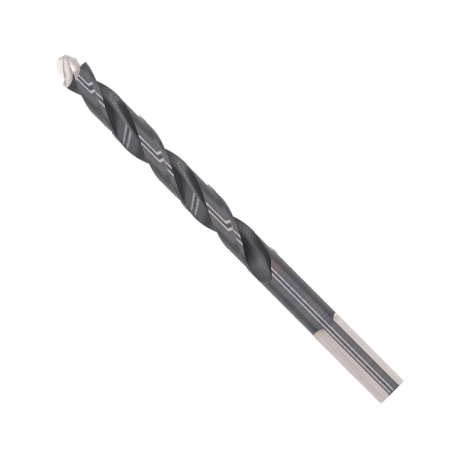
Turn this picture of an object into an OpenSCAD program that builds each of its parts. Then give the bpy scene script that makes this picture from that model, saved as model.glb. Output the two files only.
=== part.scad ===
// Twist drill bit with a stepped self-centring point and three flats on the shank.
// +Z runs from the shank end to the point; the origin is the centre of the shank end.

/* [Show] */
// Sub-part to build

/* [Body] */
// Overall length (mm)
overall_l = 125; // [121:1:132]
// Diameter across the margins (mm)
body_d = 9; // [8.9:0.05:9.2]
// Shank diameter (mm)
shank_d = 8.8; // [8.6:0.05:8.85]
// Bevel round the shank end (mm)
end_bevel = 0.4; // [0.2:0.05:0.6]
// Height at which the shank diameter starts to grow to the body diameter (mm)
shank_l = 51; // [50:0.5:52]
// Length of that growth (mm)
step_l = 1; // [0.6:0.1:1.5]

/* [Flutes] */
// Lead of the right-hand helix (mm for one turn)
lead = 50.9; // [46:0.1:56]
// Height at which the flutes leave the shank surface (mm)
flute_end_z = 43.6; // [42:0.1:45]
// Turn of the first flute at the tip (degrees from +X)
tip_turn = 83.8; // [70:0.1:95]
// Web thickness at the tip (mm)
web_t = 1.7; // [1.5:0.05:2]
// Growth of the web thickness towards the shank (mm for 100 mm)
web_growth = 1.7; // [1.2:0.1:2]
// Angle of the leading edge from the flute's middle at the tip (degrees)
lip_a = 56.8; // [53:0.1:60]
// Angle of the heel from the flute's middle at the tip (degrees)
heel_a = 44.2; // [41:0.1:47]
// Sweep of the lip side, from web to margin (degrees for 1 mm)
lip_sweep = 2.5; // [2:0.1:3.4]
// Radius of the wheel that cuts the flutes, which shapes their run-out (mm)
flute_wheel_r = 28; // [24:1:38]

/* [Lands] */
// Depth of the body clearance behind the margin (mm)
land_drop = 0.34; // [0.25:0.01:0.4]
// Margin width, as an angle (degrees)
margin_a = 16; // [13:0.5:19]
// Width of the flat from the clearance up to the margin, with the step at its end (degrees)
slope_a = 19.5; // [15:0.5:22]
// Height at which the clearance starts to fade (mm)
clear_end_z = 48.8; // [48:0.1:50]

/* [Point] */
// Diameter of the small crown round the tip (mm)
crown_d = 3.6; // [3.2:0.1:4]
// Depth of the crown below the tip (mm)
crown_h = 0.49; // [0.4:0.01:0.6]
// Largest diameter of the nose (mm)
nose_d = 6.5; // [6.2:0.05:6.8]
// Depth of that diameter below the tip (mm)
nose_h = 3.25; // [3:0.05:3.5]
// Smallest diameter of the neck (mm)
neck_d = 5.6; // [5.3:0.05:5.8]
// Depth of the neck below the tip (mm)
neck_h = 4.7; // [4.5:0.05:4.8]
// Depth of the shoulder's inner edge below the tip (mm)
ledge_h = 5; // [4.95:0.05:5.2]
// Depth of the shoulder's outer edge below the tip (mm)
corner_h = 5.5; // [5.35:0.05:5.7]
// Bevel on the shoulder's outer corner (mm)
corner_bevel = 0.12; // [0.05:0.01:0.2]
// Fall of the shoulder behind its cutting lip (degrees)
relief_a = 3.8; // [2:0.1:5]

/* [Gash] */
// Turn of the gash against the flute's middle at the tip (degrees)
gash_turn = -5; // [-12:0.1:0]
// Lean of the grinding strokes from the axis (degrees)
gash_lean = 35; // [30:0.5:38]
// Radius of the groove that thins the web (mm)
groove_r = 1.44; // [1.3:0.02:1.5]
// Distance of the groove's middle from the axis (mm)
groove_out = 1.05; // [0.95:0.05:1.2]
// Depth of the groove's middle below the tip (mm)
groove_h = 4; // [3.7:0.1:4.3]
// Height of the groove's floor in front of the axis there (mm)
groove_front = 0.04; // [0:0.01:0.2]
// Height of the flat cutting face in front of the axis (mm)
face_front = 0.58; // [0.5:0.01:0.7]
// Distance of the web face's side wall from the axis (mm)
wall_out = 1.17; // [1:0.01:1.3]

/* [Shank flats] */
// Length of the flats (mm)
flat_l = 24.7; // [20:0.1:25]
// Distance from the axis to each flat (mm)
flat_r = 3.58; // [3.4:0.01:3.8]
// Turn of the first flat (degrees from +X)
flat_turn = -20.5; // [-60:0.5:60]

/* [Hidden] */
$fn = 180;
body_r = body_d / 2;
shank_r = shank_d / 2;
web_r = web_t / 2;
web_slope = web_growth / 200;
land_r = body_r - land_drop;
// the fluted form stands this far out, so that the round blank bounds it
out_r = body_r * 1.3;
helix = 360 / lead;
// wheel lift that brings the flute's floor out of the shank
end_floor = web_r + web_slope * (overall_l - flute_end_z);
lift_l = sqrt(2 * flute_wheel_r * (shank_r - end_floor));
// the flutes' floor passes the shank's surface and is clear of it here
clear_z = flute_end_z - 0.9;
// the wheel starts to lift at this height, and lifts in this direction from the flute's middle
run_z = flute_end_z + lift_l;
lift_turn = 24;
// how far the lip side and the heel side swing open on the way out (degrees)
open_a = 84;
heel_open_a = 28;
// radius on which the body clearance fades out (mm)
clear_fade = 4.7;

lip_n = 10;
heel_n = 9;
land_n = 6;
// share of the slope that is flat, before the step up to the margin
flat_share = 0.85;

// --- flute section, in a plane across the axis, with the flute opening towards +X ---

function polar(r, a) = [r * cos(a), r * sin(a)];

function turned(p, a) = [p.x * cos(a) - p.y * sin(a), p.x * sin(a) + p.y * cos(a)];

// turn of the lip side at radius r
function lip_turn(r) = asin(web_r / r) + lip_sweep * sqrt(max(0, r * r - web_r * web_r));

function lip_point(u) =
    let(r = web_r + (out_r - web_r) * pow(u, 1.5))
    polar(r, lip_turn(r) - lip_turn(body_r) - lip_a);

// the heel side is one curve from the web to the heel, then straight on
web_turn = 90 - lip_turn(body_r) - lip_a;
heel_0 = polar(web_r, web_turn);
heel_3 = polar(land_r, heel_a);
heel_out = polar(1, heel_a + 4);
heel_1 = heel_0 + 1.15 * polar(1, web_turn + 90);
heel_2 = heel_3 - 1.25 * heel_out;

function heel_point(u) = u > 1
    ? heel_3 + (u - 1) * 4 * heel_out
    : pow(1 - u, 3) * heel_0 + 3 * u * pow(1 - u, 2) * heel_1
        + 3 * u * u * (1 - u) * heel_2 + pow(u, 3) * heel_3;

// u from -1 (lip side, outside) over 0 (web) to 1 (heel) and on to 2
function flute_point(u) = u < 0 ? lip_point(-u) : heel_point(u);

// --- how the section moves along the axis ---

function web_move(z) = [web_slope * (overall_l - z), 0];

function lift(z) =
    let(d = max(0, flute_end_z + lift_l - z))
    polar(d * d / 2 / flute_wheel_r, lift_turn);

// the wheel leaves the lip side wider open as it lifts
function open_turn(z) =
    let(t = max(0, run_z - z) / lift_l)
    t >= 1 ? 0 : open_a * pow(t, 1.5) * (1 - pow(t, 4));

// half way out it widens the heel side too, which closes again at the very end
function heel_wider(z) =
    let(t = max(0, run_z - z) / lift_l)
    t >= 1 ? 0 : heel_open_a * pow(t / 0.6, 6) * pow((1 - t) / 0.4, 4);

// the section's parameter where the widened and moved curve has radius r, by halving
function at_radius(r, move, lo, hi, wider = 0, n = 22) =
    n == 0 ? (lo + hi) / 2
    : let(
        mid = (lo + hi) / 2,
        out = norm(turned(flute_point(mid), wider * mid) + move) > r,
        outwards = abs(hi) > abs(lo)
    )
    out == outwards
        ? at_radius(r, move, lo, mid, wider, n - 1)
        : at_radius(r, move, mid, hi, wider, n - 1);

function turn_of(p) = atan2(p.y, p.x);

// body clearance radius, which fades out near the shank
function clear_r(z) =
    let(d = max(0, clear_end_z - z))
    min(land_r + d * d / 2 / clear_fade, out_r * 0.97);

// radius on the slope, at the share t of its width: a flat that leaves the clearance without
// a corner, then a steep step that reaches the margin at t = 1
function slope_r(t, width) =
    let(flat_end = land_r / cos(flat_share * width))
    t <= flat_share
        ? flat_end
        : flat_end + (body_r - flat_end) * (t - flat_share) / (1 - flat_share);

// half of the section at height z: one flute and the land behind it
function half_section(z) =
    let(
        move = web_move(z) + lift(z),
        u_lip = at_radius(out_r, move, -1, 0),
        wider = heel_wider(z),
        u_heel = at_radius(clear_r(z), move, 0, 2, wider),
        heel_turn = turn_of(turned(flute_point(u_heel), wider * u_heel) + move),
        u_edge = at_radius(body_r, web_move(z), -1, 0),
        edge_turn = turn_of(flute_point(u_edge) + web_move(z)) + open_turn(z) * u_edge,
        squeeze = open_turn(z) / open_a / 0.45,
        margin = margin_a * (1 - 0.8 * squeeze),
        slope = slope_a * (1 - 0.5 * squeeze),
        over = 0.4 - 0.3 * squeeze,
        margin_back = 180 + edge_turn - margin,
        slope_foot = margin_back - slope
    )
    concat(
        [for (i = [0 : lip_n])
            let(u = u_lip * (1 - i / lip_n))
            turned(flute_point(u), open_turn(z) * u) + move],
        [for (i = [1 : heel_n])
            let(u = u_heel * i / heel_n)
            turned(flute_point(u), wider * u) + move],
        [for (i = [1 : land_n])
            let(a = (slope_foot - heel_turn) * i / land_n)
            polar(clear_r(z), heel_turn + a)],
        [for (t = [flat_share, 1 + over])
            polar(max(slope_r(t, slope), clear_r(z)), slope_foot + t * slope)],
        [polar(out_r, margin_back + (over * slope + margin) / 2)]
    );

function ring(z, turn_z) =
    let(half = half_section(turn_z), a = tip_turn + helix * (turn_z - overall_l))
    concat(
        [for (p = half) let(q = turned(p, a)) [q.x, q.y, z]],
        [for (p = half) let(q = turned(p, a + 180)) [q.x, q.y, z]]
    );

// heights of the rings: closer together where the flutes run out
run_n = 20;
body_n = 60;
top_z = overall_l + 1;
ring_z = concat(
    [for (i = [0 : run_n]) clear_z + (run_z - clear_z) * i / run_n],
    [for (i = [1 : body_n]) run_z + (top_z - run_z) * i / body_n]
);

// the twisted form left between the two flutes, far larger than the shank below them
module fluted_form() {
    rings = concat([ring(-1, clear_z)], [for (z = ring_z) ring(z, z)]);
    n = len(rings[0]);
    m = len(rings);
    sides = [for (k = [0 : m - 2], i = [0 : n - 1])
        let(a = k * n + i, b = k * n + (i + 1) % n)
        each [[a, a + n, b], [b, a + n, b + n]]];
    low = m * n;
    high = low + 1;
    caps = [for (i = [0 : n - 1])
        let(j = (i + 1) % n)
        each [[low, i, j], [high, low - n + j, low - n + i]]];
    polyhedron(
        points = concat([for (r = rings) each r], [[0, 0, -1], [0, 0, top_z]]),
        faces = concat(sides, caps),
        convexity = 8
    );
}

// --- round blank with the ground point ---

ledge_in = neck_d / 2 + 0.1;
ledge_out = body_r - corner_bevel;
// height of the shoulder's ledge at radius r
function ledge_z(r) =
    overall_l - ledge_h - (corner_h - ledge_h) * (r - ledge_in) / (ledge_out - ledge_in);

module blank() {
    rotate_extrude()
        polygon([
            [0, 0],
            [shank_r - end_bevel, 0],
            [shank_r, end_bevel],
            [shank_r, shank_l],
            [body_r, shank_l + step_l],
            [body_r, overall_l - corner_h - corner_bevel],
            [ledge_out, ledge_z(ledge_out)],
            [ledge_in, ledge_z(ledge_in)],
            [neck_d / 2, overall_l - neck_h],
            [nose_d / 2, overall_l - nose_h],
            [crown_d / 2, overall_l - crown_h],
            [0, overall_l]
        ]);
}

// --- gash: what the point grinder takes away in one flute, seen from -Y ---

// everything on the far side of a plane through p, along n
module beyond(p, n, size = 16) {
    translate(p)
        rotate([0, acos(n.z / norm(n)), atan2(n.y, n.x)])
            translate([-size / 2, -size / 2, 0])
                cube(size);
}

// the groove's floor: straight near the tip, then bending outwards and sinking
stroke = [sin(gash_lean), 0, cos(gash_lean)];
across = cross([0, 1, 0], stroke);
groove_mid = [-groove_out, -groove_front, overall_l - groove_h];

function groove_floor(s) =
    let(below = min(0, s), above = max(0, s))
    groove_mid + s * stroke - 0.055 * below * below * across
        + [0, -0.12 * above - 0.225 * below + 0.037 * below * below, 0];

function groove_radius(s) = groove_r - 0.1 * s;

groove_n = 14;
groove_lo = -6.5;
groove_hi = 5.5;
// the groove's section: the cutting arc at the back, two corners in front
arc_n = 14;
arc_a = 84;
function groove_section(r) = concat(
    [for (i = [0 : arc_n]) polar(r, 90 - arc_a + 2 * arc_a * i / arc_n)],
    [[-0.8 * r, -0.8 * r], [0.8 * r, -0.8 * r]]
);

module groove() {
    rings = [for (k = [0 : groove_n])
        let(
            s = groove_lo + (groove_hi - groove_lo) * k / groove_n,
            r = groove_radius(s),
            c = groove_floor(s) - [0, r, 0]
        )
        [for (q = groove_section(r)) c + q.x * across + q.y * [0, 1, 0]]];
    m = len(rings);
    n = len(rings[0]);
    sides = [for (k = [0 : m - 2], i = [0 : n - 1])
        let(a = k * n + i, b = k * n + (i + 1) % n)
        each [[a, a + n, b], [b, a + n, b + n]]];
    polyhedron(
        points = [for (r = rings) each r],
        faces = concat(
            sides,
            [[for (i = [0 : n - 1]) i]],
            [[for (i = [0 : n - 1]) m * n - 1 - i]]
        ),
        convexity = 4
    );
}

// flat cutting face beside the groove
module face_cut() {
    intersection() {
        beyond([0, -face_front, overall_l], [-0.1, -1, 0]);
        beyond(groove_mid, cross(stroke, [0, 1, 0]));
    }
}

// face that slopes forward from the tip to the nose's widest circle
module web_cut() {
    intersection() {
        beyond([0, 0, overall_l], [0.199, -0.677, 0.709]);
        beyond([wall_out, 0, overall_l], [-1, 0, 0]);
    }
}

// bevel on the heel corner of the shoulder
module heel_bevel() {
    a = [0.9, -4.05, overall_l - corner_h - 0.1];
    b = [-1.13, -4.05, overall_l - corner_h - 2];
    c = [0, -3.4, overall_l - corner_h + 0.1];
    beyond((a + b) / 2, cross(c - a, b - a), 3.2);
}

module gash() {
    rotate([0, 0, tip_turn - 90 - gash_turn]) {
        intersection() {
            groove();
            beyond([wall_out, 0, overall_l - 5], [-1, 0, 0], 24);
        }
        face_cut();
        web_cut();
        heel_bevel();
    }
}

// --- relief of one shoulder lip: the ledge falls away behind the lip ---

module lip_relief() {
    lip_dir = tip_turn - helix * corner_h - lip_a;
    mid = overall_l - (ledge_h + corner_h) / 2;
    inner = neck_d / 2 + 0.15;
    outer = body_r + 1.5;
    rotate([0, 0, lip_dir])
        intersection() {
            translate([-outer, -2 * outer, mid - 2])
                cube([2 * outer, 2 * outer, 4]);
            translate([0, 0, mid])
                rotate([relief_a, 0, 0])
                    translate([0, 0, -mid])
                        rotate_extrude()
                            polygon([
                                [inner, ledge_z(inner)],
                                [outer, ledge_z(outer)],
                                [outer, ledge_z(outer) + 0.45],
                                [inner, ledge_z(inner) + 0.45]
                            ]);
        }
}

// --- one shank flat, with the slope its wheel leaves at the end ---

module flat_cut() {
    reach = shank_r + 1;
    rotate([90, 0, 0])
        linear_extrude(height = 2 * reach, center = true)
            polygon([
                [flat_r, -1],
                [reach, -1],
                [reach, flat_l + reach - flat_r],
                [flat_r, flat_l]
            ]);
}

module drill_bit() {
    color("#4a4a50")
        difference() {
            intersection() {
                blank();
                fluted_form();
            }
            for (a = [0, 120, 240])
                rotate([0, 0, flat_turn + a])
                    flat_cut();
            for (a = [0, 180])
                rotate([0, 0, a]) {
                    gash();
                    lip_relief();
                }
        }
}

drill_bit();
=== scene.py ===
# %% [markdown]
# # A twist drill with a stepped point
#
# A twist drill is a steel bar with two helical flutes and a ground point. This one wears black
# oxide on its shank, lands and flutes, and shows bare steel on its point and on the three flats of
# its shank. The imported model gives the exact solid. Here the same form is built again with a finer
# mesh, because a glossy skin shows every facet, and each surface gets its own finish.
#
# The frame's box gives the drill's length and its largest radius, so they aren't repeated below.

import math

import bmesh
import bpy
import numpy as np
from mathutils import Matrix, Vector


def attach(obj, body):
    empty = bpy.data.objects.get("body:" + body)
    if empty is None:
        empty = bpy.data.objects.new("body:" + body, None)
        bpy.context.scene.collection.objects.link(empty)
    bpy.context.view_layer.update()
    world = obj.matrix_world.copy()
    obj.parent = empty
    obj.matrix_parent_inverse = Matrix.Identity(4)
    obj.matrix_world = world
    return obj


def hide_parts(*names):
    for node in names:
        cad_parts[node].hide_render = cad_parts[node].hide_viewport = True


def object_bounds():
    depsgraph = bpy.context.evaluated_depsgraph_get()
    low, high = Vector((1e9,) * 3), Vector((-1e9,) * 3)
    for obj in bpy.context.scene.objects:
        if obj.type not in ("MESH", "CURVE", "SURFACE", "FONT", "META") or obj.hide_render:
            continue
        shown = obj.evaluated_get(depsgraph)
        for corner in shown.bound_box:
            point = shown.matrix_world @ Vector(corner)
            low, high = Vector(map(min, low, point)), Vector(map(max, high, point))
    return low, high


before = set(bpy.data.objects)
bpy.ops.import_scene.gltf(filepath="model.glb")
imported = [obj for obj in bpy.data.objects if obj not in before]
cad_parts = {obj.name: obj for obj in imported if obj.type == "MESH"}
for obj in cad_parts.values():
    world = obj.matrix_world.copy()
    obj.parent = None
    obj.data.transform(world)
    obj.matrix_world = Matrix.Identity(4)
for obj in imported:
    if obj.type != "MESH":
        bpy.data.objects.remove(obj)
cad_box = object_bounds()
low, high = (Vector(corner) for corner in cad_box)
MM = 0.001
overall_l = (high.z - low.z) / MM
body_r = (high.x - low.x) / MM / 2
print("overall length", round(overall_l, 2), "mm, body radius", round(body_r, 3), "mm")

# %% [markdown]
# ## The camera
#
# The drill is seen square from one side, as a catalogue shows it, and it leans across the picture.
# A long lens far away keeps its sides parallel. The camera stays level and is rolled about its own
# line of sight, so the drill itself can stand upright on its shank end.

# %% The camera
view_width = 120.5 * MM
view_lean = math.radians(44.96)
view_centre = Vector((-0.13 * MM, 0, 61.72 * MM))
camera_distance = 4
sensor_width = 36

right = Vector((math.cos(view_lean), 0, -math.sin(view_lean)))
up = Vector((math.sin(view_lean), 0, math.cos(view_lean)))
back = Vector((0, -1, 0))
camera_turn = Matrix((right, up, back)).transposed().to_4x4()
camera = bpy.data.objects.new("camera", bpy.data.cameras.new("camera"))
camera.data.sensor_width = sensor_width
camera.data.lens = sensor_width * camera_distance / view_width
camera.matrix_world = Matrix.Translation(view_centre + camera_distance * back) @ camera_turn
bpy.context.scene.collection.objects.link(camera)
bpy.context.scene.camera = camera
bpy.context.scene.view_settings.view_transform = "Standard"
print("lens", round(camera.data.lens), "mm")

# %% [markdown]
# ## Surfaces of the drill
#
# Each surface of a drill is left by one grinding wheel or turning tool, and has that tool's finish.
# The mesh keeps the surfaces apart as material slots, from the first grid on, because a Boolean
# modifier carries slots over to its result. Later each one gets its own smooth shading and finish.

# %% Surfaces
SURFACES = [
    "flute", "flute_heel", "land", "step", "shank", "margin", "end",
    "ledge", "neck", "nose", "crown", "flat", "groove", "face", "crescent",
]
SLOT = {name: i for i, name in enumerate(SURFACES)}
markers = [bpy.data.materials.new("mark_" + name) for name in SURFACES]


def solid(name, points, faces, slots):
    """A mesh object from points in mm, with a surface name for each face."""
    mesh = bpy.data.meshes.new(name)
    mesh.from_pydata([tuple(p) for p in points], [], faces)
    for marker in markers:
        mesh.materials.append(marker)
    mesh.polygons.foreach_set("material_index", [SLOT[s] for s in slots])
    thing = bpy.data.objects.new(name, mesh)
    bpy.context.scene.collection.objects.link(thing)
    return thing


print("surfaces kept apart:", len(SURFACES))

# %% [markdown]
# ## The flute section
#
# Across the axis a drill shows two flutes, 180 degrees apart, with a land behind each. The leading
# side of a flute ends at the margin, the trailing side at the heel. Both start at the web, the
# core that the wheel leaves. The curves are the same as the solid's: a swept line for the lip
# side, and one Bezier curve for the heel side. Lengths are in mm and angles in degrees.

# %% Sizes of the flutes
web_r = 0.85
web_slope = 0.0085
lead = 50.9
helix = 360 / lead
tip_turn = 83.8
lip_a = 56.8
heel_a = 44.2
lip_sweep = 2.5
land_drop = 0.34
land_r = body_r - land_drop
# the flutes' form reaches this far out, well past the round blank
out_r = body_r * 1.3
# how far the heel side's curve aims along its tangents at the web and at the heel
web_pull, heel_pull = 1.15, 1.25
# the heel side's end leans this many degrees from the radius
heel_lean = 4
# past the heel it runs straight on, this many mm for each unit of u
heel_run = 4


# %% Points across the axis
def polar(r, a):
    return np.array([r * math.cos(math.radians(a)), r * math.sin(math.radians(a))])


def turned(p, a):
    c, s = polar(1, a)
    return np.array([p[0] * c - p[1] * s, p[0] * s + p[1] * c])


def turn_of(p):
    return math.degrees(math.atan2(p[1], p[0]))


# %% The flute's curve
def lip_turn(r):
    """Turn of the lip side at radius r: a line that touches the web, swept on as it runs out."""
    sweep = lip_sweep * math.sqrt(max(0, r * r - web_r * web_r))
    return math.degrees(math.asin(web_r / r)) + sweep


web_turn = 90 - lip_turn(body_r) - lip_a
heel_out = polar(1, heel_a + heel_lean)
heel = [polar(web_r, web_turn), None, None, polar(land_r, heel_a)]
heel[1] = heel[0] + web_pull * polar(1, web_turn + 90)
heel[2] = heel[3] - heel_pull * heel_out


def flute_point(u):
    """u runs from -1 outside the lip over 0 at the web to 1 at the heel, and on outwards."""
    if u < 0:
        r = web_r + (out_r - web_r) * (-u) ** 1.5
        return polar(r, lip_turn(r) - lip_turn(body_r) - lip_a)
    if u > 1:
        return heel[3] + (u - 1) * heel_run * heel_out
    v = 1 - u
    return v**3 * heel[0] + 3 * u * v * v * heel[1] + 3 * u * u * v * heel[2] + u**3 * heel[3]


print("flute reaches from", flute_point(-1).round(2), "to", flute_point(1).round(2))

# %% [markdown]
# ## How the section moves along the drill
#
# The web grows thicker towards the shank. At their lower end the flutes run out: the wheel lifts
# away on its own large radius, and both sides swing open as it goes. The clearance behind the
# margin fades out there too, last of all beside the heel.

# %% Sizes of the run-out
flute_end_z = 43.6
flute_wheel_r = 28
shank_r = 4.4
clear_end_z = 48.8
# the clearance fades along a curve of this radius
clear_fade = 4.7
open_a = 84
heel_open_a = 28
# the heel side is widest at this share of the run-out
heel_peak = 0.6
lift_turn = 24
end_floor = web_r + web_slope * (overall_l - flute_end_z)
lift_l = math.sqrt(2 * flute_wheel_r * (shank_r - end_floor))
run_z = flute_end_z + lift_l
# from here down the section stays as it is
clear_z = flute_end_z - 0.9


# %% How the section moves
def web_move(z):
    """Shift of the flute from the axis, as the web grows."""
    return np.array([web_slope * (overall_l - z), 0])


def lift(z):
    """Shift of the flute from the axis, as the wheel lifts."""
    d = max(0, run_z - z)
    return polar(d * d / 2 / flute_wheel_r, lift_turn)


def run_share(z):
    """0 where the wheel starts to lift, 1 where the flutes leave the shank."""
    return max(0, run_z - z) / lift_l


def lip_opening(z):
    """Turn by which the lip side swings open."""
    t = run_share(z)
    return 0 if t >= 1 else open_a * t**1.5 * (1 - t**4)


def heel_opening(z):
    """Turn by which the heel side swings open."""
    t = run_share(z)
    return 0 if t >= 1 else heel_open_a * (t / heel_peak)**6 * ((1 - t) / (1 - heel_peak))**4


def clear_r(z):
    """Radius of the body behind the margin, which grows past the blank at the run-out."""
    d = max(0, clear_end_z - z)
    return min(land_r + d * d / 2 / clear_fade, out_r * 0.97)


def at_radius(r, move, low_u, high_u, wider=0):
    """The place on the moved flute curve with radius r, by halving."""
    outwards = high_u > -low_u
    for _ in range(24):
        mid = (low_u + high_u) / 2
        outside = np.hypot(*(turned(flute_point(mid), wider * mid) + move)) > r
        if outside == outwards:
            high_u = mid
        else:
            low_u = mid
    return (low_u + high_u) / 2


print("flutes run out from", round(run_z, 1), "mm down to", flute_end_z, "mm")

# %% [markdown]
# ## Half of the section
#
# One flute and the land behind it make half of the section. The other half is the same, turned
# half round. The land has three parts: the clearance, at a smaller radius; a flat slope that leads
# up to the margin and ends in a low step; and the margin, which guides the drill in its hole.
# Slope and margin grow narrower where the flutes run out.

# %% Sizes of the land
margin_a = 16
slope_a = 19.5
flat_share = 0.85
# the lip side opens by at most this share of open_a; margin and slope lose these shares there
widest = 0.45
margin_loss, slope_loss = 0.8, 0.5
# the step runs on past the margin by this share of the slope, and by less where it is narrow
step_over, over_loss = 0.4, 0.3
# steps of the mesh along each part
lip_n, heel_n, land_n = 22, 26, 16


# %% Half of the section
def slope_r(t, width):
    """A flat that leaves the clearance without a corner, then a steep step up to the margin."""
    flat_end = land_r / math.cos(math.radians(flat_share * width))
    if t <= flat_share:
        return flat_end
    return flat_end + (body_r - flat_end) * (t - flat_share) / (1 - flat_share)


def half_section(z):
    """Points of one flute and of the land behind it, from outside the lip round to the margin."""
    move = web_move(z) + lift(z)
    opened = lip_opening(z)
    wider = heel_opening(z)
    u_lip = at_radius(out_r, move, -1, 0)
    u_heel = at_radius(clear_r(z), move, 0, 2, wider)
    heel_turn = turn_of(turned(flute_point(u_heel), wider * u_heel) + move)
    u_edge = at_radius(body_r, web_move(z), -1, 0)
    edge_turn = turn_of(flute_point(u_edge) + web_move(z)) + opened * u_edge

    squeeze = opened / open_a / widest
    margin = margin_a * (1 - margin_loss * squeeze)
    slope = slope_a * (1 - slope_loss * squeeze)
    over = step_over - over_loss * squeeze
    margin_back = 180 + edge_turn - margin
    foot = margin_back - slope

    points = []
    for i in range(lip_n + 1):
        u = u_lip * (1 - i / lip_n)
        points.append(turned(flute_point(u), opened * u) + move)
    for i in range(1, heel_n + 1):
        u = u_heel * i / heel_n
        points.append(turned(flute_point(u), wider * u) + move)
    for i in range(1, land_n + 1):
        a = (foot - heel_turn) * i / land_n
        points.append(polar(clear_r(z), heel_turn + a))
    for t in (flat_share, 1 + over):
        r = max(slope_r(t, slope), clear_r(z))
        points.append(polar(r, foot + t * slope))
    points.append(polar(out_r, margin_back + (over * slope + margin) / 2))
    return points


# the surface that follows each of these points
half_slots = ["flute"] * lip_n + ["flute_heel"] * heel_n
half_slots += ["land"] * (land_n + 1) + ["step"] + ["margin"] * 2
print("points in half a section:", len(half_slots))

# %% [markdown]
# ## The fluted form
#
# Rings of the section, turned along the helix, are joined by a grid of triangles. The grid is much
# finer than the solid's, so that reflections run smoothly down the flutes. The form stands proud
# of the drill all round: the round blank trims it to size afterwards.

# %% The fluted form
run_out_n, helix_n = 60, 190


def fluted_form():
    bottom_z, top_z = -1, overall_l + 1
    run_out = np.linspace(clear_z, run_z, run_out_n)
    full_depth = np.linspace(run_z, top_z, helix_n)[1:]
    heights = [bottom_z, *run_out, *full_depth]
    points = []
    for z in heights:
        section_z = max(z, clear_z)
        a = tip_turn + helix * (section_z - overall_l)
        half = half_section(section_z)
        for side in (0, 180):
            points += [(*turned(p, a + side), z) for p in half]
    n = 2 * len(half)
    faces = []
    slots = []
    for k in range(len(heights) - 1):
        for i in range(n):
            a = k * n + i
            b = k * n + (i + 1) % n
            faces += [(a, b, a + n), (b, b + n, a + n)]
            slots += [half_slots[i % len(half)]] * 2
    last = len(points) - n
    points += [(0, 0, bottom_z), (0, 0, top_z)]
    for i in range(n):
        j = (i + 1) % n
        faces += [(len(points) - 2, j, i), (len(points) - 1, last + i, last + j)]
        slots += ["end", "end"]
    return solid("fluted_form", points, faces, slots)


form = fluted_form()
print("fluted form:", len(form.data.polygons), "faces")

# %% [markdown]
# ## The round blank
#
# Before the flutes and the gash, the drill is a turned and ground bar: a bevelled shank end, the
# shank, the slightly larger body, and the stepped point with its shoulder, neck and nose. A
# revolved profile is the plain way to make it. Heights at the point are measured down from the tip.

# %% Sizes of the blank
end_bevel = 0.4
shank_l, step_l = 51, 1
ledge_h, corner_h = 5, 5.5
corner_bevel = 0.12
ledge_in, ledge_out = 2.9, body_r - corner_bevel
neck_r, neck_h = 2.8, 4.7
nose_r, nose_h = 3.25, 3.25
crown_r, crown_h = 1.8, 0.49


def ledge_z(r):
    """Height of the shoulder's ledge at radius r."""
    return overall_l - ledge_h - (corner_h - ledge_h) * (r - ledge_in) / (ledge_out - ledge_in)


# %% The round blank
def revolved(name, outline, n=256):
    """Turns (r, z, surface) corners round Z. The first and last lie on the axis."""
    points = [(0, 0, outline[0][1]), (0, 0, outline[-1][1])]
    for r, z, _ in outline[1:-1]:
        points += [(*polar(r, 360 * i / n), z) for i in range(n)]
    faces = []
    slots = []
    m = len(outline) - 2
    for i in range(n):
        j = (i + 1) % n
        faces.append((0, 2 + j, 2 + i))
        slots.append(outline[0][2])
        for k in range(m - 1):
            a = 2 + k * n
            faces.append((a + i, a + j, a + n + j, a + n + i))
            slots.append(outline[k + 1][2])
        faces.append((2 + (m - 1) * n + i, 2 + (m - 1) * n + j, 1))
        slots.append(outline[m][2])
    return solid(name, points, faces, slots)


blank = revolved("blank", [
    (0, 0, "end"),
    (shank_r - end_bevel, 0, "end"),
    (shank_r, end_bevel, "shank"),
    (shank_r, shank_l, "margin"),
    (body_r, shank_l + step_l, "margin"),
    (body_r, overall_l - corner_h - corner_bevel, "ledge"),
    (ledge_out, ledge_z(ledge_out), "ledge"),
    (ledge_in, ledge_z(ledge_in), "neck"),
    (neck_r, overall_l - neck_h, "neck"),
    (nose_r, overall_l - nose_h, "nose"),
    (crown_r, overall_l - crown_h, "crown"),
    (0, overall_l, None),
])
print("blank:", len(blank.data.polygons), "faces")

# %% [markdown]
# ## Flat cuts
#
# The flat faces of a drill are cut by taking away the space that a wheel swept. Here such a space
# is a box with one face on the cutting plane, trimmed where another plane bounds it. A trimmed box
# is closed again with a lid, because the Boolean needs a closed mesh.

# %% Flat cuts
def box_faces():
    """Faces of a box with four corners at one end and the same four at the other."""
    sides = [(i, (i + 1) % 4, (i + 1) % 4 + 4, i + 4) for i in range(4)]
    return [(3, 2, 1, 0), (4, 5, 6, 7)] + sides


def beyond(name, p, n, size=16):
    """A box on the far side of the plane through p, with its face there square to n."""
    n = Vector(n).normalized()
    side = n.orthogonal().normalized()
    other = n.cross(side)
    h = size / 2
    square = [i * h * side + j * h * other for i, j in ((-1, -1), (1, -1), (1, 1), (-1, 1))]
    points = [Vector(p) + q for q in square] + [Vector(p) + q + size * n for q in square]
    return solid(name, points, box_faces(), ["face"] * 6)


def trim(thing, p, n):
    """Keeps the part of a closed mesh on the far side of a plane."""
    work = bmesh.new()
    work.from_mesh(thing.data)
    everything = work.verts[:] + work.edges[:] + work.faces[:]
    rim = bmesh.ops.bisect_plane(
        work, geom=everything, plane_co=p, plane_no=n, clear_inner=True
    )["geom_cut"]
    edges = [e for e in rim if isinstance(e, bmesh.types.BMEdge)]
    for lid in bmesh.ops.contextual_create(work, geom=edges)["faces"]:
        lid.material_index = SLOT["face"]
    bmesh.ops.recalc_face_normals(work, faces=work.faces[:])
    work.to_mesh(thing.data)
    work.free()
    return thing


# %% [markdown]
# ## The gash
#
# A gash in each flute lets the drill cut at its very centre. The wheel's stroke leans against the
# axis. It leaves a flat cutting face, a rounded groove that thins the web, a web face at the tip
# and a bevel on the heel. The groove could be a straight cylinder, but the real one bends, so its
# cutter is a tube along a curved line. All four cutters are made on the -Y side of the axis, where
# they are easy to describe, and turned to their place afterwards.

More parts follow.
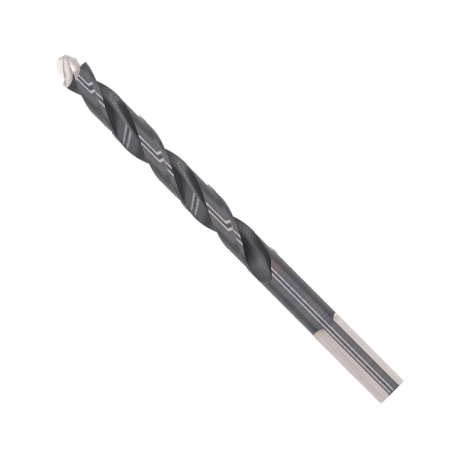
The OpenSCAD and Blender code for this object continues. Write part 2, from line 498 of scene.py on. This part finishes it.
# %% Sizes of the gash
gash_turn = -5
gash_lean = 35
stroke = Vector((math.sin(math.radians(gash_lean)), 0, math.cos(math.radians(gash_lean))))
forward = Vector((0, 1, 0))
across = forward.cross(stroke)
# a wall this far across bounds the groove and the web face
wall_out = 1.17
# the cutting face passes this far in front of the axis
face_front = 0.58
face_facing = (-0.1, -1, 0)
web_facing = (0.199, -0.677, 0.709)

groove_r, groove_taper = 1.44, 0.1
groove_out, groove_front, groove_h = 1.05, 0.04, 4
groove_mid = Vector((-groove_out, -groove_front, overall_l - groove_h))
groove_low, groove_high = -6.5, 5.5
# the tube's round back is a half circle that ends this many degrees early at either side
arc_short = 6
arc_n, groove_n = 40, 50

# three points of the heel bevel, and the width of the wheel that grinds it
bevel_upper = Vector((0.9, -4.05, overall_l - corner_h - 0.1))
bevel_lower = Vector((-1.13, -4.05, overall_l - corner_h - 2))
bevel_inner = Vector((0, -3.4, overall_l - corner_h + 0.1))
bevel_facing = (bevel_inner - bevel_upper).cross(bevel_lower - bevel_upper).normalized()
bevel_width = 3.2
print("heel bevel leans", round(math.degrees(bevel_facing.angle(-forward))), "degrees")


# %% The groove
def groove_floor(s):
    """The floor's line, s mm up the stroke: nearly straight above, sinking and bending out below."""
    below = min(0, s)
    above = max(0, s)
    sink = -0.12 * above - 0.225 * below + 0.037 * below * below
    return groove_mid + s * stroke - 0.055 * below * below * across + sink * forward


def groove_cutter():
    arc = [polar(1, arc_short + (180 - 2 * arc_short) * i / arc_n) for i in range(arc_n + 1)]
    front = [np.array([-0.8, -0.8]), np.array([0.8, -0.8])]
    section = arc + front
    steps = np.linspace(groove_low, groove_high, groove_n).tolist()
    points = []
    for s in steps:
        r = groove_r - groove_taper * s
        centre = groove_floor(s) - r * forward
        points += [centre + r * float(x) * across + r * float(y) * forward for x, y in section]
    n = len(section)
    faces = []
    for k in range(len(steps) - 1):
        for i in range(n):
            a = k * n + i
            b = k * n + (i + 1) % n
            faces.append((a, a + n, b + n, b))
    faces += [tuple(range(n)), tuple(reversed(range(len(points) - n, len(points))))]
    groove = solid("groove", points, faces, ["groove"] * len(faces))
    return trim(groove, (wall_out, 0, 0), (-1, 0, 0))


# %% The gash cutters
def gash_cutters():
    face = beyond("cutting_face", (0, -face_front, overall_l), face_facing)
    web = beyond("web_face", (0, 0, overall_l), web_facing)
    return [
        groove_cutter(),
        trim(face, groove_mid, stroke.cross(forward)),
        trim(web, (wall_out, 0, 0), (-1, 0, 0)),
        beyond("heel_bevel", (bevel_upper + bevel_lower) / 2, bevel_facing, bevel_width),
    ]


def side_turn(side):
    """The turn from where the gash cutters are made to one side of the point."""
    return Matrix.Rotation(math.radians(tip_turn - 90 - gash_turn + side), 3, "Z")


# %% [markdown]
# ## The shoulder relief
#
# Behind each main lip the shoulder falls away, or the drill would rub instead of cutting. The
# cutter is a thin ring that lies on the shoulder, tilted about the lip. Only the half behind the
# lip is used.

# %% The shoulder relief
# the ring's tilt in degrees and its thickness
relief_a, relief_t = 3.8, 0.45
relief_in, relief_out = 2.95, body_r + 1.5


def relief_cutter(n=180):
    middle = Vector((0, 0, overall_l - (ledge_h + corner_h) / 2))
    points = []
    for r, rise in ((relief_in, 0), (relief_out, 0), (relief_out, relief_t), (relief_in, relief_t)):
        points += [(*polar(r, 360 * i / n), ledge_z(r) + rise) for i in range(n)]
    faces = [
        (k * n + i, k * n + (i + 1) % n, (k + 1) % 4 * n + (i + 1) % n, (k + 1) % 4 * n + i)
        for k in range(4) for i in range(n)
    ]
    ring = solid("relief", points, faces, ["ledge"] * len(faces))
    tilt = Matrix.Rotation(math.radians(relief_a), 4, "X")
    ring.data.transform(Matrix.Translation(middle) @ tilt @ Matrix.Translation(-middle))
    return trim(ring, (0, 0, 0), (0, -1, 0))


print("shoulder relief:", relief_a, "degrees")


# %% [markdown]
# ## The shank flats
#
# Three flats keep the shank from slipping in a chuck with three jaws. The edge of the wheel leaves
# a slope of 45 degrees at the upper end of each.

# %% The shank flats
flat_r, flat_l, flat_turn = 3.58, 24.7, -20.5


def flat_cutter(turn):
    reach = shank_r + 1
    outline = [(flat_r, -1), (reach, -1), (reach, flat_l + reach - flat_r), (flat_r, flat_l)]
    points = [(x, y, z) for y in (-reach, reach) for x, z in outline]
    wheel = solid("flat", points, box_faces(), ["flat"] * 6)
    wheel.data.transform(Matrix.Rotation(math.radians(turn), 4, "Z"))
    return wheel


print("flats:", flat_l, "mm long and", round(shank_r - flat_r, 2), "mm deep")

# %% [markdown]
# ## Cutting the drill
#
# Each cutter becomes a Boolean modifier on the blank. The Manifold solver needs closed meshes, and
# gives a closed mesh back in a fraction of a second. Both sides of the point are cut alike: the
# second set of cutters is the first one turned half round.

# %% One cut
tools = []


def cut(tool, operation="DIFFERENCE"):
    """Takes a tool from the blank, or, with INTERSECT, keeps what lies inside it."""
    work = bmesh.new()
    work.from_mesh(tool.data)
    bmesh.ops.recalc_face_normals(work, faces=work.faces[:])
    work.to_mesh(tool.data)
    work.free()
    step = blank.modifiers.new(tool.name, "BOOLEAN")
    step.object = tool
    step.operation = operation
    step.solver = "MANIFOLD"
    tools.append(tool)


# %% Cutting the drill
cut(form, "INTERSECT")
for turn in (0, 120, 240):
    cut(flat_cutter(flat_turn + turn))
for side in (0, 180):
    for tool in gash_cutters():
        tool.data.transform(side_turn(side).to_4x4())
        cut(tool)
    relief = relief_cutter()
    lip_dir = tip_turn - helix * corner_h - lip_a + side
    relief.data.transform(Matrix.Rotation(math.radians(lip_dir), 4, "Z"))
    cut(relief)

bpy.context.view_layer.update()
cut_body = blank.evaluated_get(bpy.context.evaluated_depsgraph_get())
mesh = bpy.data.meshes.new_from_object(cut_body)
mesh.name = "drill"
drill = bpy.data.objects.new("drill", mesh)
bpy.context.scene.collection.objects.link(drill)
for thing in tools + [blank]:
    bpy.data.objects.remove(thing)
print("cut drill:", len(mesh.polygons), "faces", len(mesh.vertices), "points")

# %% [markdown]
# ## The bare crescents
#
# Where the heel bevel runs out onto the land, the wheel wipes the black skin off a crescent that is
# wider than the bevel itself, and takes hardly any steel with it. So only the finish changes there,
# and the form stays. A leaning plane draws the crescent's rim as an edge in the land's mesh.

# %% The bare crescents
crescent_reach = 5
crescent_end = Vector((2.4, -3.4, overall_l - corner_h))
crescent_inner = (bevel_lower + crescent_end) / 2 + Vector((0, 1, 1))
crescent_up = (crescent_inner - crescent_end).cross(bevel_lower - crescent_end)


def land_faces(work, spot):
    """The land's faces within reach of a spot."""
    lands = [face for face in work.faces if face.material_index == SLOT["land"]]
    return [f for f in lands if (f.calc_center_median() - spot).length < crescent_reach]


def bare_crescent(side):
    """Draws the rim on one side of the point, and marks the land above it as bare."""
    end = side_turn(side) @ crescent_end
    above = side_turn(side) @ crescent_up
    work = bmesh.new()
    work.from_mesh(mesh)
    parts = []
    for face in land_faces(work, end):
        parts += [face, *face.verts, *face.edges]
    parts = list(dict.fromkeys(parts))
    bmesh.ops.bisect_plane(work, geom=parts, plane_co=end, plane_no=above)
    for face in land_faces(work, end):
        if (face.calc_center_median() - end).dot(above) > 0:
            face.material_index = SLOT["crescent"]
    work.to_mesh(mesh)
    work.free()


for side in (0, 180):
    bare_crescent(side)
print("with the crescents' rims:", len(mesh.polygons), "faces")

# %% [markdown]
# ## Smooth shading, surface by surface
#
# A ground surface is smooth up to its edge, and the edge is sharp. So a corner's shading direction
# comes only from faces of its own surface: turned surfaces get the exact direction of their
# profile, flat ones keep their own, and on the rest the neighbouring faces are averaged. The low
# step up to the margin is worn round, so its shading runs from the land's over to the margin's.
# The bare crescents are shaded like the heel bevel, as if the wheel had touched all of them.

# %% The mesh as arrays
def read(items, field, width, kind=np.float64):
    values = np.zeros(len(items) * width, kind)
    items.foreach_get(field, values)
    return values.reshape(-1, width) if width > 1 else values


corner_point = read(mesh.loops, "vertex_index", 1, np.int64)
corner_at = read(mesh.vertices, "co", 3)[corner_point]
face_slot = read(mesh.polygons, "material_index", 1, np.int64)
face_size = read(mesh.polygons, "loop_total", 1, np.int64)
corner_face = np.repeat(np.arange(len(face_size)), face_size)
corner_slot = face_slot[corner_face]
corner_normal = read(mesh.polygons, "normal", 3)[corner_face]


def on(*names):
    """The corners that lie on these surfaces."""
    return np.isin(corner_slot, [SLOT[name] for name in names])


print("corners:", len(corner_slot), "of", len(face_size), "faces")


# %% How much a face counts at its corner
starts = read(mesh.polygons, "loop_start", 1, np.int64)[corner_face]
place = np.arange(len(corner_face)) - starts
size = face_size[corner_face]
ahead = corner_at[starts + (place + 1) % size] - corner_at
behind = corner_at[starts + (place - 1) % size] - corner_at
cosine = (ahead * behind).sum(1) / np.linalg.norm(ahead, axis=1) / np.linalg.norm(behind, axis=1)
# a face counts by its angle at the corner, and the step hardly at all beside the land
weight = np.arccos(np.clip(cosine, -1, 1))
weight[on("step")] *= 1e-6

# %% Average directions
shaded_as = corner_slot.copy()
shaded_as[on("step")] = SLOT["land"]
shaded_as[on("flute_heel")] = SLOT["flute"]
groups, group = np.unique(corner_point * len(SURFACES) + shaded_as, return_inverse=True)
summed = np.zeros((len(groups), 3))
np.add.at(summed, group, corner_normal * weight[:, None])
normals = summed[group]
print("averaged directions:", len(groups))

# %% Exact directions
flats = on("flat", "face", "end", "ledge", "neck")
normals[flats] = corner_normal[flats]
radius = np.hypot(corner_at[:, 0], corner_at[:, 1])
at_margin = radius > body_r - 0.05
rounds = on("shank", "margin") | (on("step") & at_margin)
normals[rounds] = corner_at[rounds] * (1, 1, 0)
normals /= np.linalg.norm(normals, axis=1)[:, None]
for side in (0, 180):
    facing = np.array(side_turn(side) @ bevel_facing)
    this_side = corner_at[:, :2] @ facing[:2] > 0
    normals[on("crescent") & this_side] = facing
mesh.polygons.foreach_set("use_smooth", [True] * len(mesh.polygons))
mesh.normals_split_custom_set(normals.tolist())
print("corners with an exact direction:", int((flats | rounds).sum()))

# %% [markdown]
# ## Into place
#
# The grids were made in millimetres. The finished mesh is scaled to metres, takes the place of
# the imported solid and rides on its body.

# %% Into place
mesh.transform(Matrix.Scale(MM, 4))
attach(drill, "root")
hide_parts("drill_bit")
print("drill stands", round(drill.dimensions.z / MM, 2), "mm tall")

# %% [markdown]
# ## The direction of the grinding marks
#
# Every wheel leaves fine scratches along its own path: round the shank, along the helix in the
# flutes, along the stroke in the gash and lengthwise on the flats. Each corner of the mesh gets a
# coordinate that is pressed together along that path. A noise pattern laid over this coordinate
# is then drawn out into marks that run the right way.

# %% Marks round the axis, along the helix and along the flats
PRESSED = 0.03
x, y, z = corner_at.T
grain = np.stack([radius + PRESSED * x, PRESSED * y, z], 1)

back_turn = np.radians(helix * (overall_l - z))
along_helix = np.stack([
    x * np.cos(back_turn) - y * np.sin(back_turn),
    x * np.sin(back_turn) + y * np.cos(back_turn),
    PRESSED * z,
], 1)
helical = on("flute", "flute_heel", "land", "step")
grain[helical] = along_helix[helical]
grain[on("flat")] = corner_at[on("flat")] * (1, 1, PRESSED)

# %% Marks along the gash's stroke
gash_side = side_turn(0) @ groove_mid
gash_path = side_turn(0) @ stroke
sign = np.where(x * gash_side.x + y * gash_side.y > 0, 1, -1)
path = np.stack([sign * gash_path.x, sign * gash_path.y, np.full(len(x), gash_path.z)], 1)
lengthwise = (corner_at * path).sum(1)[:, None] * path
gashed = on("groove", "face")
grain[gashed] = (corner_at - (1 - PRESSED) * lengthwise)[gashed]
mesh.attributes.new("grain", "FLOAT_VECTOR", "CORNER").data.foreach_set("vector", grain.ravel())
print("grain from", grain.min(0).round(1), "to", grain.max(0).round(1), "mm")

# %% [markdown]
# ## The floor and the sides of a flute
#
# At the run-out the sides of a flute get painted shade, a dark tint for the shade deep in the
# hollow, and a lighter ribbon stays in the middle. To paint it, each corner learns how far it lies
# from the flute's floor towards the surface of the shank: 0 on the floor, 1 at the surface. A
# second attribute carries that share.

# %% How far from the floor
lifted = np.clip(run_z - z, 0, None) ** 2 / 2 / flute_wheel_r
floor_r = web_r + web_slope * (overall_l - z) + lifted
hollow = np.clip((radius - floor_r) / (shank_r - floor_r), 0, 1)
mesh.attributes.new("hollow", "FLOAT", "CORNER").data.foreach_set("value", hollow)
print("corners no further out than the floor:", int((hollow == 0).sum()))

# %% [markdown]
# ## The recipe of a finish
#
# One recipe serves all surfaces. Clouds of a second tint lie over the colour, as heat and oil
# leave them. The marks change the gloss and the height a little. Sharp edges can be rubbed bright,
# and tints can be laid over a range of heights: temper tints where grinding warmed the steel, and
# painted shade on the sides of the flutes.

# %% Node helpers
def node(tree, kind, inputs, **settings):
    """A shader node; the values of inputs are numbers, colours or other nodes' sockets."""
    made = tree.nodes.new("ShaderNode" + kind)
    for key, value in settings.items():
        setattr(made, key, value)
    for socket, value in inputs.items():
        if isinstance(value, bpy.types.NodeSocket):
            tree.links.new(value, made.inputs[socket])
        else:
            made.inputs[socket].default_value = value
    return made


def noise(tree, where, scale, detail):
    return node(tree, "TexNoise", {"Vector": where, "Scale": scale, "Detail": detail}).outputs[0]


def fit(tree, value, start, end, low, high):
    """Turns the range start to end into low to high, and stays inside it."""
    sockets = {"Value": value, "From Min": start, "From Max": end, "To Min": low, "To Max": high}
    return node(tree, "MapRange", sockets).outputs[0]


def mixed(tree, share, a, b, **settings):
    colours = [(*c, 1) if isinstance(c, tuple) else c for c in (a, b)]
    inputs = {0: share, 6: colours[0], 7: colours[1]}
    return node(tree, "Mix", inputs, data_type="RGBA", **settings).outputs[2]


def times(tree, a, b):
    return node(tree, "Math", {0: a, 1: b}, operation="MULTIPLY").outputs[0]


# %% Temper tints and painted shade
def lay_tints_and_shade(tree, shade, place, height, heat_and_shade, painted_shade_on_sides):
    """Lays tints over a colour: temper tints in patches, or, with painted_shade_on_sides, painted
    shade on the sides of the flutes, full on their sides and a quarter as strong on their floor.

    Each tint is a colour, then the heights in mm where it starts, is full, starts to fade and is
    gone.
    """
    for tint, start, full, fade, gone in heat_and_shade:
        rise = fit(tree, height, start * MM, full * MM, 0, 1)
        reach = times(tree, rise, fit(tree, height, gone * MM, fade * MM, 0, 1))
        if painted_shade_on_sides:
            aside = node(tree, "Attribute", {}, attribute_name="hollow").outputs["Fac"]
            share = fit(tree, aside, 0.02, 0.24, 0.25, 1)
        else:
            share = fit(tree, noise(tree, place, 420, 3), 0.35, 0.6, 0.2, 1)
        shade = mixed(tree, times(tree, reach, share), shade, tint)
    return shade


# %% Streaks and rubbed edges
BARE = (0.62, 0.57, 0.55)
edge_width = 0.12 * MM


def streaked(tree, shade, marks):
    """Makes a colour a little lighter and darker along the marks."""
    streak = fit(tree, marks, 0.3, 0.7, 0.82, 1.16)
    grey = node(tree, "CombineColor", {0: streak, 1: streak, 2: streak}).outputs[0]
    return mixed(tree, 1.0, shade, grey, blend_type="MULTIPLY")


def rubbed_share(tree, marks, worn):
    """How bare a sharp edge is rubbed: up to worn, and unevenly along it."""
    bevel = node(tree, "Bevel", {"Radius": edge_width}, samples=4).outputs[0]
    plain = node(tree, "NewGeometry", {}).outputs["Normal"]
    dot = node(tree, "VectorMath", {0: bevel, 1: plain}, operation="DOT_PRODUCT").outputs["Value"]
    return times(tree, fit(tree, dot, 0.995, 0.93, 0, 1), fit(tree, marks, 0.35, 0.6, 0.3, worn))


# %% The recipe
def finish(
    name, colour, tint, rough, marks,
    metal=1.0, cloud=160, worn=0.0, heat_and_shade=(), painted_shade_on_sides=False, dull=None,
):
    """A metal surface. rough is its range of roughness, marks the depth of its scratches in mm.

    heat and painted_shade_on_sides are as for heated, which lays temper tints and painted shade.
    dull gives the heights in mm between which gloss is lost, and the roughness added there.
    """
    material = bpy.data.materials.new(name)
    material.use_nodes = True
    tree = material.node_tree
    shader = tree.nodes["Principled BSDF"]
    place = node(tree, "TexCoord", {}).outputs["Object"]
    height = node(tree, "SeparateXYZ", {0: place}).outputs["Z"]
    grain_at = node(tree, "Attribute", {}, attribute_name="grain").outputs["Vector"]
    clouds = noise(tree, place, cloud, 4)
    coarse = noise(tree, grain_at, 2.2, 3)
    fine = noise(tree, grain_at, 9, 4)

    shade = mixed(tree, fit(tree, clouds, 0.42, 0.66, 0, 1), colour, tint)
    shade = lay_tints_and_shade(tree, shade, place, height, heat_and_shade, painted_shade_on_sides)
    shade = streaked(tree, shade, coarse)
    gloss = fit(tree, fine, 0.3, 0.7, *rough)
    if dull:
        more = fit(tree, height, dull[0] * MM, dull[1] * MM, 0, dull[2])
        gloss = node(tree, "Math", {0: gloss, 1: more}, operation="ADD").outputs[0]

    if worn:
        rubbed = rubbed_share(tree, coarse, worn)
        shade = mixed(tree, rubbed, shade, BARE)
        tree.links.new(fit(tree, rubbed, 0, 1, metal, 1), shader.inputs["Metallic"])
    else:
        shader.inputs["Metallic"].default_value = metal

    scratches = node(tree, "Bump", {"Strength": 1.0, "Distance": marks * MM, "Height": fine})
    tree.links.new(scratches.outputs[0], shader.inputs["Normal"])
    tree.links.new(shade, shader.inputs["Base Color"])
    tree.links.new(gloss, shader.inputs["Roughness"])
    shader.inputs["IOR"].default_value = 1.8
    return material


# %% [markdown]
# ## The black finishes
#
# Black oxide is a thin skin that keeps the gloss of the steel under it. The shank and the lands are
# ground fine and shine. The flutes are duller, most of all on their heel side, where the chips
# rub, and at the run-out. There their sides get painted shade, a near-black tint for the shade
# deep in the hollow. Heat has tinted the skin of the lands and shank brown round the run-out, and
# blue just above the flats.

# %% Black oxide
BLUE_BLACK = (0.074, 0.075, 0.092)
BROWN_TINT = (0.112, 0.082, 0.082)
BLUE_TINT = (0.060, 0.056, 0.076)
SKIN = {"metal": 0.6, "worn": 0.6}

oxide = finish(
    "black_oxide", (0.090, 0.082, 0.087), BLUE_BLACK, (0.07, 0.13), 0.0006,
    cloud=130, heat_and_shade=[(BROWN_TINT, 51, 48, 45, 42), (BLUE_TINT, 28, 25.5, 24.5, 23.8)], **SKIN,
)
turned_end = finish(
    "turned_end", (0.092, 0.082, 0.085), BLUE_BLACK, (0.15, 0.3), 0.002, **SKIN,
)


# %% Black flutes
def flute_finish(name, rough, marks, reach):
    """The skin of a flute, with painted shade on its sides; reach gives the four heights of that
    shade.
    """
    # the near-black tint below is painted shade, laid on the sides of the flute at the run-out
    return finish(
        name, (0.060, 0.057, 0.063), (0.052, 0.051, 0.065), rough, marks,
        heat_and_shade=[((0.006, 0.005, 0.010), *reach)], painted_shade_on_sides=True, dull=(60, 52, 0.26), **SKIN,
    )


flute_oxide = flute_finish("flute_oxide", (0.11, 0.22), 0.0025, (59, 53, 50.5, 47))
heel_oxide = flute_finish("heel_oxide", (0.22, 0.4), 0.004, (58, 51, 40, 39))
print("black finishes:", oxide.name, turned_end.name, flute_oxide.name, heel_oxide.name)

# %% [markdown]
# ## The bare finishes
#
# The point and the flats are ground after the drill is blackened, so they are bare and bright. The
# groove is the roughest. The cutting face and the web face beside it are darker, as painted shade
# that dims their strong reflection of the front lamps. The flats are the finest, with a straw tint
# at their upper end, where the wheel ran hottest.

# %% Bare steel
ground = finish(
    "ground_steel", (0.62, 0.565, 0.555), (0.55, 0.50, 0.49), (0.34, 0.5), 0.003,
)
# painted shade: the point's bare steel, darker where its faces mirror the front lamps
cutting_face = finish(
    "cutting_face", (0.48, 0.44, 0.43), (0.43, 0.39, 0.385), (0.42, 0.58), 0.003,
)
groove_steel = finish(
    "groove_steel", (0.58, 0.535, 0.52), (0.52, 0.475, 0.465), (0.55, 0.7), 0.004,
)
flat_steel = finish(
    "flat_steel", (0.66, 0.585, 0.57), (0.61, 0.54, 0.53), (0.22, 0.38), 0.002,
    heat_and_shade=[((0.52, 0.42, 0.29), 23.4, 24.8, 29, 30)],
)
print("bare finishes:", ground.name, cutting_face.name, groove_steel.name, flat_steel.name)

# %% [markdown]
# ## Which surface has which finish
#
# Each surface gets its finish as a whole, apart from two parts of the flutes, which the point's
# wheels grind bare: what lies above the shoulder's corner, and a narrow strip of the lip side that
# the gash leaves beside it.

# %% Which surface has which finish
finish_of = dict.fromkeys(["shank", "land", "step", "margin"], oxide)
finish_of |= dict.fromkeys(["ledge", "neck", "nose", "crown", "crescent"], ground)
finish_of |= {"flute": flute_oxide, "flute_heel": heel_oxide, "end": turned_end}
finish_of |= {"face": cutting_face, "groove": groove_steel, "flat": flat_steel}
finishes = list(dict.fromkeys(finish_of.values()))
finish_index = {name: finishes.index(material) for name, material in finish_of.items()}

# the bare part reaches this far below the shoulder's corner, and the strip this far below the
# tip and out from the middle of the gash
corner_reach = 0.15
strip_h, strip_out = 6.6, 2.9
face_mid = read(mesh.polygons, "center", 3) / MM
beside = np.abs(face_mid @ np.array(side_turn(0) @ Vector((1, 0, 0))))
above_corner = face_mid[:, 2] > overall_l - corner_h - corner_reach
lip_strip = (face_mid[:, 2] > overall_l - strip_h) & (beside > strip_out)
in_flute = np.isin(face_slot, [SLOT["flute"], SLOT["flute_heel"]])
face_finish = np.array([finish_index[name] for name in SURFACES])[face_slot]
face_finish[in_flute & (above_corner | lip_strip)] = finish_index["nose"]

mesh.materials.clear()
for material in finishes:
    mesh.materials.append(material)
mesh.polygons.foreach_set("material_index", face_finish.astype(np.int32))
for marker in markers:
    bpy.data.materials.remove(marker)
print("faces of each finish:", np.bincount(face_finish).tolist())

# %% [markdown]
# ## Surroundings
#
# A drill is a mirror with scratches: it shows what stands round it. The room is white and evenly
# lit. Two narrow lamps beside the camera draw the pair of thin lines along the shank, and wide
# soft panels further out draw the broad light bands beside them. Lamps like these stand behind the
# drill too, so that it looks much the same from the back.

# %% The room
room_light, room_mirrored = 0.25, 0.62
world = bpy.data.worlds.new("studio")
bpy.context.scene.world = world
world.use_nodes = True
sky = world.node_tree
rays = node(sky, "LightPath", {}).outputs
room = fit(sky, rays["Is Glossy Ray"], 0, 1, room_light, room_mirrored)
level = node(sky, "Math", {0: room, 1: rays["Is Camera Ray"]}, operation="MAXIMUM").outputs[0]
sky.links.new(level, sky.nodes["Background"].inputs["Strength"])
sky.nodes["Background"].inputs["Color"].default_value = (1, 1, 1, 1)


# %% The lamps
def lamp(name, azimuth, width, height, radiance, elevation=0):
    """A soft lamp a metre from the drill; azimuth 0 is the camera's side, in degrees."""
    data = bpy.data.lights.new(name, "AREA")
    data.shape = "RECTANGLE"
    data.size = width
    data.size_y = height
    data.energy = radiance * math.pi * width * height
    thing = bpy.data.objects.new(name, data)
    a = math.radians(azimuth)
    e = math.radians(elevation)
    aim = Vector((math.sin(a) * math.cos(e), -math.cos(a) * math.cos(e), math.sin(e)))
    facing = aim.to_track_quat("Z", "Y").to_matrix().to_4x4()
    thing.matrix_world = Matrix.Translation(view_centre + aim) @ facing
    thing.visible_camera = False
    bpy.context.scene.collection.objects.link(thing)


lamp_h = 2.4
line_turn, panel_turn, rear_turn = 13, 42, 128
for side, sign in (("left", -1), ("right", 1)):
    lamp(f"front_line_{side}", line_turn * sign, 0.15, lamp_h, 5.6)
    lamp(f"rear_line_{side}", 180 + line_turn * sign, 0.15, lamp_h, 3.5)
    lamp(f"front_panel_{side}", panel_turn * sign, 0.5, lamp_h, 0.75)
    lamp(f"front_glow_{side}", panel_turn * sign, 0.84, lamp_h, 0.45)
    lamp(f"rear_panel_{side}", rear_turn * sign, 1.2, lamp_h, 0.35)
lamp("top_panel", 0, 1.4, 1.4, 0.8, elevation=90)
print("lamps:", len(bpy.data.lights))

# %% [markdown]
# ## The floor
#
# The drill stands on a white floor. It is lit a little by itself, so that it stays white where
# the room is dimmer, and still takes the drill's shadow.

# %% The floor
half = 0.6
floor_gap = 0.02 * MM
floor_glow = 0.21
corners = [(-half, -half, 0), (half, -half, 0), (half, half, 0), (-half, half, 0)]
floor_mesh = bpy.data.meshes.new("floor")
floor_mesh.from_pydata(corners, [], [(0, 1, 2, 3)])
floor = bpy.data.objects.new("floor", floor_mesh)
bpy.context.scene.collection.objects.link(floor)
floor.location.z = low.z - floor_gap
paint = bpy.data.materials.new("floor_paint")
paint.use_nodes = True
shader = paint.node_tree.nodes["Principled BSDF"]
shader.inputs["Base Color"].default_value = (0.8, 0.8, 0.8, 1)
shader.inputs["Roughness"].default_value = 0.9
shader.inputs["Emission Color"].default_value = (1, 1, 1, 1)
shader.inputs["Emission Strength"].default_value = floor_glow
floor_mesh.materials.append(paint)
floor.visible_glossy = False
floor.visible_shadow = False
print("floor:", 2 * half, "m wide")
